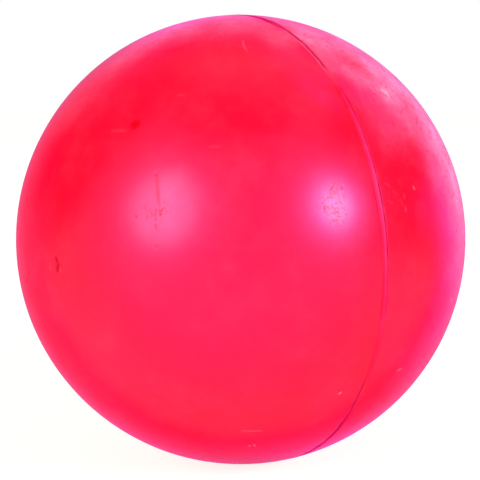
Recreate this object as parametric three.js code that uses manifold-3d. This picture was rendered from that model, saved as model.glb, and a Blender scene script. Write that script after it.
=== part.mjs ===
// Rubber pet ball.
//
// A thick-walled hollow ball of two moulded half shells. A strip of gum bonds
// them rim to rim, and its outer edge stands a little proud as the seam. A soft
// plug closes the needle hole by which the closed ball was filled with air.
//
// Millimetres, +Z up. The origin is the ball's centre. The mould axis runs
// along X, from the left half's pole at -X to the right half's pole at +X, so
// the seam lies in the YZ plane. The front of the ball is towards -Y.

import * as THREE from 'three';
import { mergeVertices } from 'three/addons/utils/BufferGeometryUtils.js';
import Module from 'manifold-3d';

// The ball
const ballDiameter = 70;
const wallThickness = 8;

// The seam: a strip of gum as deep as the wall, between the two flat rims. Its
// outer edge is crowned, and a little gum is squeezed out inside as a bead.
const seamBondWidth = 1.0;
const seamCrownHeight = 0.13;
const seamBeadHeight = 0.4;
const leftRimChamfer = 0.1;
const rightRimChamfer = 0.3;

// The needle plug: a stem through the wall and a head in a recess inside it
const plugStemDiameter = 1.7;
const plugDimpleDepth = 0.15;
const plugHeadDiameter = 6;
const plugHeadThickness = 2;
const plugRecessDepth = 1;
const plugClearance = 0.1;

// The plug's place on the left half: how far it lies from the seam towards the
// pole, and how far round the mould axis from the top towards the front
const plugDegreesFromSeam = 47.8;
const plugDegreesFromTop = 28.6;

// Facets
const facetsAroundBall = 72;
const facetsAroundPlug = 24;
const outerWallRings = 16;
const innerWallRings = 12;
const seamEdgeSteps = 4;

// Sizes and places that follow from the dimensions above
const outerRadius = ballDiameter / 2;
const innerRadius = outerRadius - wallThickness;
const rimDistance = seamBondWidth / 2;
const plugSeatDistance = innerRadius + plugRecessDepth;

const mouldAxis = new THREE.Vector3(1, 0, 0);
const turningAxis = new THREE.Vector3(0, 1, 0);
const plugDirection = new THREE.Vector3(0, 0, 1)
  .applyAxisAngle(mouldAxis, THREE.MathUtils.degToRad(plugDegreesFromTop))
  .multiplyScalar(Math.cos(THREE.MathUtils.degToRad(plugDegreesFromSeam)))
  .addScaledVector(mouldAxis, -Math.sin(THREE.MathUtils.degToRad(plugDegreesFromSeam)));

const towardsRightPole = new THREE.Quaternion().setFromUnitVectors(turningAxis, mouldAxis);
const towardsLeftPole = towardsRightPole.clone().invert();
const towardsPlug = new THREE.Quaternion().setFromUnitVectors(turningAxis, plugDirection);

// The colours of the rubber, the gum and the plug
const leftHalfRubber = new THREE.MeshStandardMaterial({ color: 0xfe2450, roughness: 0.42, metalness: 0 });
const rightHalfRubber = new THREE.MeshStandardMaterial({ color: 0xf81c42, roughness: 0.5, metalness: 0 });
const seamGum = new THREE.MeshStandardMaterial({ color: 0xff4f86, roughness: 0.55, metalness: 0 });
const plugRubber = new THREE.MeshStandardMaterial({ color: 0xd01030, roughness: 0.6, metalness: 0 });

const wasm = await Module();
wasm.setup();

// Radius of a ball at a distance from its middle plane
function radiusAt(ballRadius, distance) {
  return Math.sqrt(ballRadius ** 2 - distance ** 2);
}

// Profiles are points of (radius, distance along the turning axis). Outer walls
// run towards +Y in them and inner walls run back, so that faces point out.

// A quarter wall, from a distance along the axis to the pole
function wallProfile(ballRadius, fromDistance, rings) {
  const fromAngle = Math.asin(fromDistance / ballRadius);
  const points = [];
  for (let ring = 0; ring < rings; ring += 1) {
    const angle = THREE.MathUtils.lerp(fromAngle, Math.PI / 2, ring / rings);
    points.push(new THREE.Vector2(ballRadius * Math.cos(angle), ballRadius * Math.sin(angle)));
  }
  points.push(new THREE.Vector2(0, ballRadius));
  return points;
}

// An edge of the gum strip, swelling from its side radius to its middle radius
function gumEdgeProfile(sideRadius, middleRadius) {
  const points = [];
  for (let step = 0; step <= seamEdgeSteps; step += 1) {
    const angle = THREE.MathUtils.lerp(-Math.PI / 2, Math.PI / 2, step / seamEdgeSteps);
    const swell = step === seamEdgeSteps ? 0 : (middleRadius - sideRadius) * Math.cos(angle);
    points.push(new THREE.Vector2(sideRadius + swell, rimDistance * Math.sin(angle)));
  }
  return points;
}

// A half shell with its pole on +Y: the inner wall from the pole to the flat
// rim, the rim's outer chamfer, and the outer wall back to the pole
function halfShellGeometry(rimChamfer) {
  const innerWall = wallProfile(innerRadius, rimDistance, innerWallRings).reverse();
  const outerWall = wallProfile(outerRadius, rimDistance + rimChamfer, outerWallRings);
  const rimOuterCorner = new THREE.Vector2(outerWall[0].x - rimChamfer, rimDistance);
  return new THREE.LatheGeometry([...innerWall, rimOuterCorner, ...outerWall], facetsAroundBall);
}

// The gum strip about +Y: its outer edge with the crown, and its inner edge with
// the bead, level with the two walls where it meets the rims
function gumStripGeometry() {
  const outerEdge = gumEdgeProfile(radiusAt(outerRadius, rimDistance), outerRadius + seamCrownHeight);
  const innerEdge = gumEdgeProfile(radiusAt(innerRadius, rimDistance), innerRadius - seamBeadHeight);
  return new THREE.LatheGeometry([...outerEdge, ...innerEdge.reverse(), outerEdge[0]], facetsAroundBall);
}

// A stepped round body about +Y: a wide part up to a shoulder, then a narrow one
function steppedRoundGeometry(bottom, shoulder, top, wideRadius, narrowRadius) {
  const profile = [
    new THREE.Vector2(0, bottom),
    new THREE.Vector2(wideRadius, bottom),
    new THREE.Vector2(wideRadius, shoulder),
    new THREE.Vector2(narrowRadius, shoulder),
    new THREE.Vector2(narrowRadius, top),
    new THREE.Vector2(0, top),
  ];
  return new THREE.LatheGeometry(profile, facetsAroundPlug);
}

// The plug about +Y: the head under its seat, and the stem up to the dimple
function plugGeometry() {
  const headTop = plugSeatDistance - plugClearance;
  return steppedRoundGeometry(
    headTop - plugHeadThickness,
    headTop,
    outerRadius - plugDimpleDepth,
    plugHeadDiameter / 2,
    plugStemDiameter / 2,
  );
}

// What the plug's hole takes out of the wall: the recess and the needle hole
function plugHoleGeometry() {
  return steppedRoundGeometry(
    0,
    plugSeatDistance,
    outerRadius + wallThickness,
    plugHeadDiameter / 2 + plugClearance,
    plugStemDiameter / 2 + plugClearance,
  );
}

// A closed geometry as a solid that can be cut
function toSolid(geometry) {
  const bare = geometry.clone();
  bare.deleteAttribute('normal');
  bare.deleteAttribute('uv');
  const closed = mergeVertices(bare);
  return new wasm.Manifold(new wasm.Mesh({
    numProp: 3,
    vertProperties: new Float32Array(closed.attributes.position.array),
    triVerts: new Uint32Array(closed.index.array),
  }));
}

function toGeometry(solid) {
  const { vertProperties, triVerts } = solid.getMesh();
  const geometry = new THREE.BufferGeometry();
  geometry.setAttribute('position', new THREE.BufferAttribute(vertProperties, 3));
  geometry.setIndex(new THREE.BufferAttribute(triVerts, 1));
  geometry.computeVertexNormals();
  return geometry;
}

function leftHalfShell() {
  const shell = toSolid(halfShellGeometry(leftRimChamfer).applyQuaternion(towardsLeftPole));
  const hole = toSolid(plugHoleGeometry().applyQuaternion(towardsPlug));
  const mesh = new THREE.Mesh(toGeometry(shell.subtract(hole)), leftHalfRubber);
  mesh.name = 'left_half_shell';
  return mesh;
}

function rightHalfShell() {
  const mesh = new THREE.Mesh(halfShellGeometry(rightRimChamfer), rightHalfRubber);
  mesh.name = 'right_half_shell';
  mesh.quaternion.copy(towardsRightPole);
  return mesh;
}

function seamBond() {
  const mesh = new THREE.Mesh(gumStripGeometry(), seamGum);
  mesh.name = 'seam_bond';
  mesh.quaternion.copy(towardsRightPole);
  return mesh;
}

function needlePlug() {
  const mesh = new THREE.Mesh(plugGeometry(), plugRubber);
  mesh.name = 'needle_plug';
  mesh.quaternion.copy(towardsPlug);
  return mesh;
}

const ball = new THREE.Group();
ball.add(leftHalfShell(), rightHalfShell(), seamBond(), needlePlug());

export default ball;
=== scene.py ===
"""Looks of the rubber pet ball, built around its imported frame.

The ball is two moulded half shells of pink-red rubber, a strip of gum that bonds
them at the seam, and the soft plug of the needle hole. Each is a fine closed mesh
that stands for one node of the frame, with the small marks of use cut into its
skin and a procedural rubber finish. Lengths are in metres, +Z is up, and the
mould axis runs along X, with the left half towards -X.
"""

from __future__ import annotations

import logging
import math
from dataclasses import dataclass
from enum import Enum

import bmesh
import bpy
import numpy as np
from mathutils import Matrix, Vector

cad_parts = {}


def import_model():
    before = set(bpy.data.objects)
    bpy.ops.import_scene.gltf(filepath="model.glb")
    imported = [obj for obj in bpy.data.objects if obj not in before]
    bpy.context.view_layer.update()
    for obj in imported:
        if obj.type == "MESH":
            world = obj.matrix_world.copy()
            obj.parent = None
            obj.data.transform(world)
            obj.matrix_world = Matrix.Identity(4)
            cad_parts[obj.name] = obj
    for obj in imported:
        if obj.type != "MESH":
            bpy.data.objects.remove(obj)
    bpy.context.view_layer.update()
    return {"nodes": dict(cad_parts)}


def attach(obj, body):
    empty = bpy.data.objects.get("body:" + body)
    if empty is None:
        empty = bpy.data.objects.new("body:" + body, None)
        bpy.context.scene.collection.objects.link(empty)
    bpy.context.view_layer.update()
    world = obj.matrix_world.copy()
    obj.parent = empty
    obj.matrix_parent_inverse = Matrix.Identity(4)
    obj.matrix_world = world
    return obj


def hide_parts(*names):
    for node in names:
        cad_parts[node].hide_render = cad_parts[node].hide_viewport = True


log = logging.getLogger("pet_ball")

MM = 0.001
UP = np.array((0.0, 0.0, 1.0))
# Masks kept in the meshes: film and blush also hold painted highlights and reflections, mark_pale the gum
# crest's painted highlight, and mark_dark painted shade in the seam's creases
MASKS = ("film", "blush", "scuffs", "mark_pale", "mark_dark")

# Linear red, green and blue
Colour = tuple[float, float, float]
# Pairs of degrees from the seam's top towards the front, and what the seam has there
Course = tuple[tuple[float, float], ...]
# What feeds a shader's socket: another socket, a number, or a vector or colour
Source = bpy.types.NodeSocket | float | tuple[float, ...]


class Half(Enum):
    """The two moulded halves, by the side of the seam that they lie on."""

    LEFT = -1
    RIGHT = 1


def smooth_step(value: np.ndarray | float, low: float, high: float) -> np.ndarray:
    """Ease from 0 where the value is low to 1 where it is high."""
    share = np.clip((value - low) / (high - low), 0.0, 1.0)
    return share * share * (3.0 - 2.0 * share)


def direction_from(azimuth: float, elevation: float) -> np.ndarray:
    """Unit vector from the ball to something that stands round it.

    Args:
        azimuth: Degrees round from the front, which is -Y, towards +X.
        elevation: Degrees above the horizon.

    Returns:
        The unit vector.
    """
    turn, rise = math.radians(azimuth), math.radians(elevation)
    return np.array((
        math.sin(turn) * math.cos(rise),
        -math.cos(turn) * math.cos(rise),
        math.sin(rise),
    ))


def place_on_ball(from_seam: float, from_top: float) -> np.ndarray:
    """Unit vector to a place on the ball.

    Args:
        from_seam: Degrees from the seam towards the left pole.
        from_top: Degrees round the mould axis, from the top towards the front.

    Returns:
        The unit vector.
    """
    off, turn = math.radians(from_seam), math.radians(from_top)
    return np.array((
        -math.sin(off),
        -math.cos(off) * math.sin(turn),
        math.cos(off) * math.cos(turn),
    ))


def unit_rows(points: np.ndarray) -> np.ndarray:
    """Unit vectors towards some points, as rows."""
    return points / np.linalg.norm(points, axis=1)[:, None]


def turns_round(points: np.ndarray) -> np.ndarray:
    """Turns of some points round the mould axis, from the top towards the front."""
    return np.arctan2(-points[:, 1], points[:, 2])


def opaque(colour: Colour) -> tuple[float, float, float, float]:
    """Colour with the fourth number that a shader's socket takes."""
    return (*colour, 1.0)


@dataclass(frozen=True)
class BallSizes:
    """Sizes of the ball, as the frame's nodes have them, in metres."""

    outer_radius: float
    inner_radius: float
    rim_distance: float
    crown_radius: float
    bead_radius: float
    floor_height: float
    plug_axis: tuple[float, float, float]
    plug_top: float
    plug_bottom: float
    plug_stem_radius: float
    plug_head_radius: float
    plug_seat: float

    # How near to the plug's top or to its head's side a point counts as part of it
    PLUG_TOLERANCE = 0.1 * MM

    @classmethod
    def from_frame(cls, nodes: dict[str, bpy.types.Object]) -> BallSizes:
        """Measure the frame's nodes.

        Args:
            nodes: The frame's nodes by name.

        Returns:
            The sizes.
        """
        shell = cls.points_of(nodes["right_half_shell"])
        gum = cls.points_of(nodes["seam_bond"])
        plug = cls.points_of(nodes["needle_plug"])
        gum_radii = np.hypot(gum[:, 1], gum[:, 2])
        axis = plug.mean(axis=0)
        axis /= np.linalg.norm(axis)
        along = plug @ axis
        beside = np.linalg.norm(plug - along[:, None] * axis, axis=1)
        stem = beside[along > along.max() - cls.PLUG_TOLERANCE]
        head = along[beside > beside.max() - cls.PLUG_TOLERANCE]
        return cls(
            outer_radius=float(shell[:, 0].max()),
            inner_radius=float(np.linalg.norm(shell, axis=1).min()),
            rim_distance=float(shell[:, 0].min()),
            crown_radius=float(gum_radii.max()),
            bead_radius=float(gum_radii.min()),
            floor_height=float(gum[:, 2].min()),
            plug_axis=tuple(float(part) for part in axis),
            plug_top=float(along.max()),
            plug_bottom=float(along.min()),
            plug_stem_radius=float(stem.max()),
            plug_head_radius=float(beside.max()),
            plug_seat=float(head.max()),
        )

    @staticmethod
    def points_of(node: bpy.types.Object) -> np.ndarray:
        """Corner points of a node's mesh, as an array of rows."""
        return np.array([corner.co[:] for corner in node.data.vertices])


@dataclass(frozen=True)
class Mark:
    """One small cut, nick or rub in the skin, a curved stroke with tapered ends.

    Lengths are in millimetres. The place is in degrees from the seam towards the
    left pole and from the top towards the front, and the heading is in degrees
    clockwise from up, as seen from outside.
    """

    from_seam: float
    from_top: float
    heading: float
    length: float
    width: float = 0.22
    depth: float = 0.03
    bend: float = 0.0
    pale: float = 0.0
    dark: float = 0.0

    STEPS = 12
    # How far from the stroke its effect is worked out: so many widths, and so many
    # millimetres more
    REACH_WIDTHS = 4
    REACH_MARGIN = 1.5

    def stroke(self) -> np.ndarray:
        """Draw the stroke's middle line in the skin's plane.

        Returns:
            The line's points in millimetres, as rows of right and up.
        """
        along = np.linspace(-0.5, 0.5, self.STEPS + 1)
        turn = np.radians(self.heading + self.bend * along)
        middle_turn = 0.5 * (turn[1:] + turn[:-1])
        steps = np.stack((np.sin(middle_turn), np.cos(middle_turn)), axis=1)
        line = np.vstack((np.zeros(2), np.cumsum(steps * self.length / self.STEPS, axis=0)))
        return line - line[self.STEPS // 2]

    def nearness(self, directions: np.ndarray, radius: float) -> tuple[np.ndarray, np.ndarray, np.ndarray]:
        """How near some places on the ball are to the stroke.

        Args:
            directions: Unit vectors to the places, as rows.
            radius: The ball's radius in metres.

        Returns:
            The rows' numbers that lie close by, their distance to the stroke in
            millimetres, and how far along it they lie, from -1 to 1.
        """
        middle = place_on_ball(self.from_seam, self.from_top)
        up = UP - middle[2] * middle
        up /= np.linalg.norm(up)
        right = np.cross(up, middle)
        reach = (self.length / 2 + self.REACH_WIDTHS * self.width + self.REACH_MARGIN) * MM / radius
        close = np.flatnonzero(directions @ middle > math.cos(reach))
        flat = np.stack((directions[close] @ right, directions[close] @ up), axis=1) * radius / MM
        line = self.stroke()
        best = np.full(len(close), np.inf)
        along = np.zeros(len(close))
        for step, (start, end) in enumerate(zip(line[:-1], line[1:])):
            span = end - start
            share = np.clip((flat - start) @ span / (span @ span), 0.0, 1.0)
            gap = np.linalg.norm(flat - start - share[:, None] * span, axis=1)
            nearer = gap < best
            best[nearer] = gap[nearer]
            along[nearer] = 2 * (step + share[nearer]) / self.STEPS - 1
        return close, best, along

    def profile(self, gap: np.ndarray, along: np.ndarray) -> np.ndarray:
        """Strength of the stroke, from 0 beside it to 1 in its middle."""
        taper = np.sqrt(np.clip(1.0 - np.abs(along) ** 3, 0.0, 1.0))
        return np.exp(-((gap / (0.5 * self.width)) ** 2)) * taper


# Marks that the left half carries
LEFT_MARKS = (
    # The long shallow rub, its fork and the short cuts round it
    Mark(50.3, 55.7, 166, 5.0, width=0.5, depth=0.015, dark=0.42),
    Mark(50.6, 58.5, 168, 3.4, width=0.3, depth=0.015, dark=0.35),
    Mark(52.2, 63.7, 189, 1.1, width=0.25, depth=0.02, bend=-20, dark=0.4),
    Mark(51.3, 64.2, 159, 1.1, width=0.25, depth=0.02, bend=20, dark=0.5),
    Mark(53.0, 69.3, 162, 1.0, width=0.4, depth=0.02, dark=0.3),
    Mark(53.7, 76.5, 177, 0.6, width=0.35, depth=0.02, dark=0.25),
    Mark(49.4, 50.7, 170, 0.5, width=0.35, depth=0.02, dark=0.25),
    Mark(49.9, 65.3, 175, 0.7, width=0.25, depth=0.015, dark=0.2),
    Mark(48.9, 65.0, 185, 0.7, width=0.25, depth=0.015, dark=0.2),
    Mark(54.6, 64.2, 180, 0.7, width=0.25, depth=0.015, dark=0.2),
    Mark(57.3, 62.8, 95, 0.6, width=0.35, depth=0.02, dark=0.4),
    # The double crescent nick near the pole
    Mark(83.4, 72.1, 144, 1.3, width=0.7, depth=0.04, dark=1.0),
    Mark(83.3, 88.0, 15, 1.6, width=0.85, depth=0.05, bend=30, dark=1.0),
    Mark(81.8, 83.1, 147, 0.9, width=0.4, depth=0.02, dark=0.45),
    Mark(82.1, 92.1, 146, 0.8, width=0.5, depth=0.01, pale=0.07),
    Mark(86.2, 91.2, 5, 1.2, width=0.6, depth=0.01, pale=0.05),
    # Single hairlines of a rub near the seam
    Mark(12.3, 68.5, 210, 0.9, width=0.3, depth=0.01, dark=0.25),
    Mark(9.3, 68.6, 200, 0.7, width=0.3, depth=0.01, dark=0.25),
    Mark(14.9, 72.9, 188, 0.9, width=0.3, depth=0.01, dark=0.25),
    Mark(11.9, 74.2, 96, 0.8, width=0.3, depth=0.01, dark=0.25),
    # Pale rubs
    Mark(14.7, 23.3, 170, 3.3, width=0.3, depth=0.03, bend=-35, pale=0.1, dark=0.1),
    Mark(23.2, 136.1, 92, 3.3, width=0.3, depth=0.02, pale=0.13),
    Mark(20.2, 143.7, 166, 0.8, width=0.3, depth=0.02, pale=0.2),
    Mark(19.3, 142.9, 168, 1.1, width=0.3, depth=0.02, pale=0.2),
    Mark(6.5, 119.9, 53, 0.6, width=0.3, depth=0.05, pale=0.4),
    Mark(6.9, 119.2, 90, 0.3, width=0.3, depth=0.05, dark=0.5),
    Mark(35.5, 30.0, 88, 1.2, width=0.45, depth=0.008, pale=0.035),
    Mark(51.6, 25.2, 86, 3.0, width=0.5, depth=0.008, pale=0.035),
    Mark(34.8, 50.9, 89, 1.9, width=0.45, depth=0.008, pale=0.035),
)

# Marks that the right half carries
RIGHT_MARKS = (
    # The torn nick with its pale lip
    Mark(-15.6, 44.4, 22, 1.3, width=0.4, depth=-0.03, bend=45, pale=0.85),
    Mark(-14.5, 43.6, 112, 0.6, width=0.45, depth=-0.02, pale=0.5),
    Mark(-14.3, 44.9, 10, 1.3, width=0.35, depth=0.06, dark=0.5),
    Mark(-16.6, 44.9, 30, 1.2, width=0.35, depth=0.05, dark=0.45),
    # Short curved cuts of the worn side
    Mark(-23.7, 51.5, 238, 2.2, width=0.3, depth=0.05, bend=30, dark=0.6),
    Mark(-28.4, 53.9, 215, 1.2, width=0.3, depth=0.05, dark=0.5),
    Mark(-30.6, 31.9, 256, 2.4, width=0.3, depth=0.05, bend=-40, dark=0.45),
    Mark(-12.1, 70.5, 160, 0.7, width=0.3, depth=-0.02, pale=0.2),
    Mark(-10.9, 70.7, 200, 0.4, width=0.35, depth=0.04, dark=0.5),
    Mark(-8.1, 72.3, 188, 0.9, width=0.25, depth=0.02, bend=40, pale=0.05),
    Mark(-7.8, 75.4, 189, 0.8, width=0.3, depth=0.03, pale=0.06, dark=0.2),
    Mark(-16.3, 77.5, 168, 1.1, width=0.3, depth=0.03, dark=0.4),
    # Fine scratches of its bare middle
    Mark(-3.3, 69.3, 121, 1.3, width=0.26, depth=0.012, pale=0.03),
    Mark(-5.2, 71.4, 136, 1.3, width=0.26, depth=0.012, pale=0.03),
    Mark(-7.4, 68.9, 171, 1.2, width=0.26, depth=0.012, pale=0.03),
    Mark(-3.1, 73.3, 124, 1.2, width=0.26, depth=0.012, pale=0.03),
    Mark(-6.8, 73.9, 172, 1.0, width=0.26, depth=0.012, pale=0.03),
    Mark(-18.9, 85.3, 152, 1.1, width=0.3, depth=0.03, dark=0.4),
    Mark(-29.5, 32.5, 107, 2.0, width=0.3, depth=0.05, dark=0.4),
    Mark(-10.9, 116.6, 84, 1.2, width=0.3, depth=0.02, bend=30, pale=0.2),
    Mark(-31.2, 103.3, 141, 1.7, width=0.3, depth=0.02, pale=0.3),
)


@dataclass(frozen=True)
class Blotch:
    """A soft patch of film, blush or hairline scuffs, with no shape of its own.

    The place is in degrees, as a mark's is, and the radius is in millimetres. The
    film is pale and hides the red, and the blush only turns it to magenta. Some
    patches of film and blush are painted highlights and painted reflections.
    """

    from_seam: float
    from_top: float
    radius: float
    film: float = 0.0
    blush: float = 0.0
    scuffs: float = 0.0

    def cover(self, directions: np.ndarray, ball_radius: float) -> np.ndarray:
        """How much of the patch lies at each place, from 0 to 1."""
        gap = np.linalg.norm(directions - place_on_ball(self.from_seam, self.from_top), axis=1)
        return np.exp(-((gap * ball_radius / (self.radius * MM)) ** 3))


# Film by the seam at the top of the left half, painted highlights in the rubs, and
# blush and film painted as reflections on the lower half and along the outline
LEFT_BLOTCHES = (
    Blotch(6.0, 12.0, 4.5, film=0.22),
    Blotch(4.4, 23.2, 3.0, film=0.2),
    Blotch(15.3, 8.0, 5.0, film=0.1),
    Blotch(21.0, -3.0, 5.5, film=0.17),
    Blotch(31.0, -7.0, 6.0, film=0.14),
    Blotch(42.0, -14.0, 8.0, film=0.1),
    Blotch(9.0, 26.0, 4.0, blush=0.05),
    Blotch(8.2, 39.2, 2.0, blush=0.05),
    Blotch(6.8, 43.7, 2.2, blush=0.11),
    Blotch(4.0, 47.4, 2.0, blush=0.1),
    Blotch(5.1, 33.2, 4.5, film=0.01, blush=0.08),
    Blotch(1.5, 40.5, 1.8, blush=0.1),
    Blotch(4.0, 0.0, 4.5, film=0.35),
    Blotch(14.0, -14.0, 9.0, film=0.33),
    # Painted highlight: pale patches in the core of the left highlight, over the rub
    Blotch(48.0, 57.2, 1.7, film=0.05),
    Blotch(49.3, 61.9, 1.7, film=0.05),
    Blotch(55.3, 66.9, 1.6, film=0.04),
    Blotch(50.4, 67.2, 1.6, film=0.05),
    Blotch(45.4, 55.2, 1.8, film=0.03),
    # Painted reflection: blush and film on the lower half and along the left and lower outline
    Blotch(60.0, 100.0, 20.0, blush=0.05),
    Blotch(83.5, -45.0, 6.0, film=0.02, blush=0.05),
    Blotch(81.3, 165.2, 6.0, film=0.02, blush=0.06),
    Blotch(66.0, 150.0, 7.5, film=0.015, blush=0.08),
    Blotch(50.4, 145.0, 8.0, blush=0.06),
    Blotch(6.5, 121.5, 5.0, blush=0.05),
    # Painted reflection at the top of the outline
    Blotch(12.5, 17.2, 3.5, film=0.03, blush=0.05),
    # Painted highlight: a pale patch in the core of the right highlight
    Blotch(12.1, 73.1, 2.0, film=0.1),
    # Hairlines
    Blotch(11.4, 69.9, 1.5, scuffs=0.9),
    Blotch(14.8, 72.1, 1.0, scuffs=0.7),
    Blotch(11.6, 74.8, 1.6, scuffs=0.9),
    Blotch(51.9, 64.3, 1.6, scuffs=0.7),
    Blotch(54.0, 61.5, 0.9, scuffs=0.5),
    Blotch(49.9, 64.2, 1.0, scuffs=0.4),
)

# The haze that has crept over the outer side of the right half, from the top down;
# along the ball's outline its film and magenta blush are partly painted reflection
RIGHT_BLOTCHES = (
    Blotch(-4.0, 3.0, 4.5, film=0.39),
    Blotch(-4.5, 14.0, 4.0, film=0.35),
    Blotch(-1.0, 25.9, 3.5, film=0.22),
    Blotch(-5.5, 23.0, 3.5, film=0.26),
    Blotch(-5.1, 30.5, 3.5, film=0.17, blush=0.06),
    Blotch(-11.0, 20.0, 4.5, film=0.28),
    Blotch(-12.5, 30.0, 3.5, film=0.17),
    Blotch(-3.0, 34.5, 3.0, film=0.15, blush=0.1),
    Blotch(-7.5, 39.2, 2.2, film=0.26, blush=0.06),
    Blotch(-13.7, 40.8, 3.0, film=0.32, blush=0.1),
    Blotch(-17.0, 33.0, 3.0, film=0.13),
    Blotch(-17.1, 45.2, 3.0, film=0.31),
    Blotch(-15.3, 44.2, 0.9, film=0.4),
    Blotch(-19.0, 25.0, 5.0, film=0.37),
    Blotch(-21.0, 37.0, 4.0, film=0.43),
    Blotch(-28.0, 37.0, 5.0, film=0.58),
    Blotch(-23.5, 53.8, 4.0, film=0.30, blush=0.12),
    Blotch(-34.0, 50.0, 5.0, film=0.6),
    # The magenta blush along the right outline, from here down, is partly painted reflection
    Blotch(-26.5, 64.1, 4.5, film=0.19, blush=0.3),
    Blotch(-36.0, 63.0, 5.0, film=0.55),
    Blotch(-27.5, 75.3, 5.0, film=0.09, blush=0.4),
    Blotch(-38.0, 76.0, 5.0, film=0.5, blush=0.05),
    Blotch(-28.0, 88.2, 5.5, film=0.03, blush=0.4),
    Blotch(-38.0, 92.0, 5.5, film=0.17, blush=0.15),
    Blotch(-27.0, 103.0, 6.0, blush=0.3),
    Blotch(-37.0, 108.0, 5.5, film=0.07, blush=0.1),
    Blotch(-21.0, 117.0, 6.0, film=0.03, blush=0.2),
    Blotch(-27.0, 122.0, 5.5, film=0.05),
    Blotch(-18.0, 131.0, 5.0, film=0.05),
    # Painted reflection: blush on the lower front
    Blotch(-12.0, 104.0, 9.0, blush=0.07),
    Blotch(-5.0, 110.5, 5.0, blush=0.04),
    Blotch(-12.2, 139.5, 5.0, film=0.09),
    Blotch(-2.8, 42.7, 4.0, blush=0.18),
    Blotch(-8.5, 44.8, 2.5, film=0.02, blush=0.12),
    Blotch(-10.5, 50.0, 4.5, film=0.08, blush=0.14),
    Blotch(-17.0, 49.0, 3.5, film=0.1, blush=0.12),
    Blotch(-7.0, 56.5, 4.0, film=0.03, blush=0.06),
    Blotch(-12.5, 57.0, 3.5, film=0.05, blush=0.03),
    Blotch(-18.5, 76.0, 4.5, blush=0.15),
    # Hairlines
    Blotch(-4.6, 71.1, 2.6, scuffs=0.35),
    Blotch(-11.4, 61.8, 1.0, scuffs=0.7),
    Blotch(-10.8, 64.8, 1.1, scuffs=0.7),
    Blotch(-8.4, 67.5, 0.9, scuffs=0.5),
    Blotch(-7.8, 74.4, 1.6, scuffs=0.3),
    Blotch(-18.1, 120.4, 2.0, scuffs=0.5),
    # Out of the photograph's sight
    # Their edges brighten the outline as painted reflection
    Blotch(-30.0, 15.0, 9.0, film=0.62),
    Blotch(-45.0, 45.0, 10.0, film=0.6, blush=0.1),
    Blotch(-50.0, 85.0, 12.0, film=0.25, blush=0.35),
    Blotch(-52.0, 125.0, 12.0, film=0.1, blush=0.3),
    Blotch(-20.0, -12.0, 10.0, film=0.52),
    Blotch(-50.0, -60.0, 14.0, film=0.25, blush=0.2),
)


@dataclass(frozen=True)
class WearAndPaintedLight:
    """What use has done to one half of the ball: its single marks and its soft patches, some painted light.
    """

    marks: tuple[Mark, ...]
    blotches: tuple[Blotch, ...]


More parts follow.
